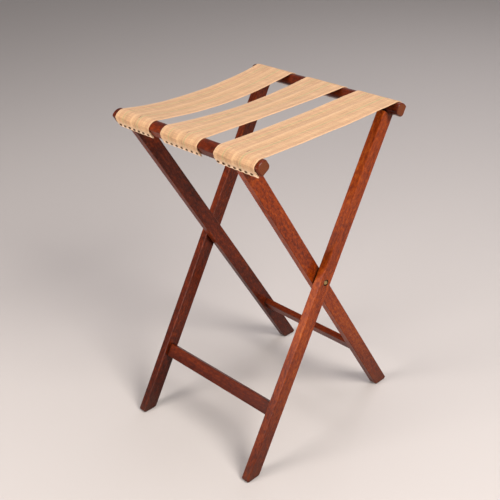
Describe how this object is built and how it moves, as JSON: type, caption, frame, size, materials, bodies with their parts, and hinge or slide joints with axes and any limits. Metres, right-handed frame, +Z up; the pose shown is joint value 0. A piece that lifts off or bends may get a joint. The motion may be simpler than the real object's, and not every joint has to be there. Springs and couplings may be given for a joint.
{
  "type": "folding luggage rack",
  "caption": "Folding luggage rack: two crossed wooden frames on a shared pivot, with rounded top rails joined by webbing straps that hold it open and carry a suitcase.",
  "frame": {"origin": "on the floor at the centre of the open rack, below the pivot axis", "axes": "+X along the rails to the right, +Y towards the top rail of the outer frame, +Z up"},
  "size_m": [0.356, 0.4164, 0.6192],
  "materials": {
    "wood": "red-brown stained hardwood under glossy varnish",
    "webbing": "plain woven webbing, tan with thin lengthwise stripes in green and pink-brown",
    "pivot_brass": "aged brass, softly worn",
    "washer_steel": "dull plain steel",
    "tack": "small steel tacks, dark and browned"
  },
  "bodies": {
    "outer_frame": {"outer_top_rail": "wood", "outer_leg_left": "wood", "outer_leg_right": "wood", "outer_stretcher": "wood", "outer_rail_tacks": "tack", "webbing_left_outer_wrap": "webbing", "webbing_left_span": "webbing", "webbing_middle_outer_wrap": "webbing", "webbing_middle_span": "webbing", "webbing_right_outer_wrap": "webbing", "webbing_right_span": "webbing"},
    "inner_frame": {"inner_top_rail": "wood", "inner_leg_left": "wood", "inner_leg_right": "wood", "inner_stretcher": "wood", "inner_rail_tacks": "tack", "pivot_screw_left": "pivot_brass", "leg_spacer_washer_left": "washer_steel", "pivot_screw_right": "pivot_brass", "leg_spacer_washer_right": "washer_steel", "webbing_left_inner_wrap": "webbing", "webbing_middle_inner_wrap": "webbing", "webbing_right_inner_wrap": "webbing"}
  },
  "joints": [
    {"name": "fold", "type": "hinge", "parent": "outer_frame", "child": "inner_frame", "pos_m": [0, 0, 0.327], "axis": [-1, 0, 0], "range_deg": [0, 52], "deforming": ["webbing_left_span", "webbing_middle_span", "webbing_right_span"]}
  ]
}
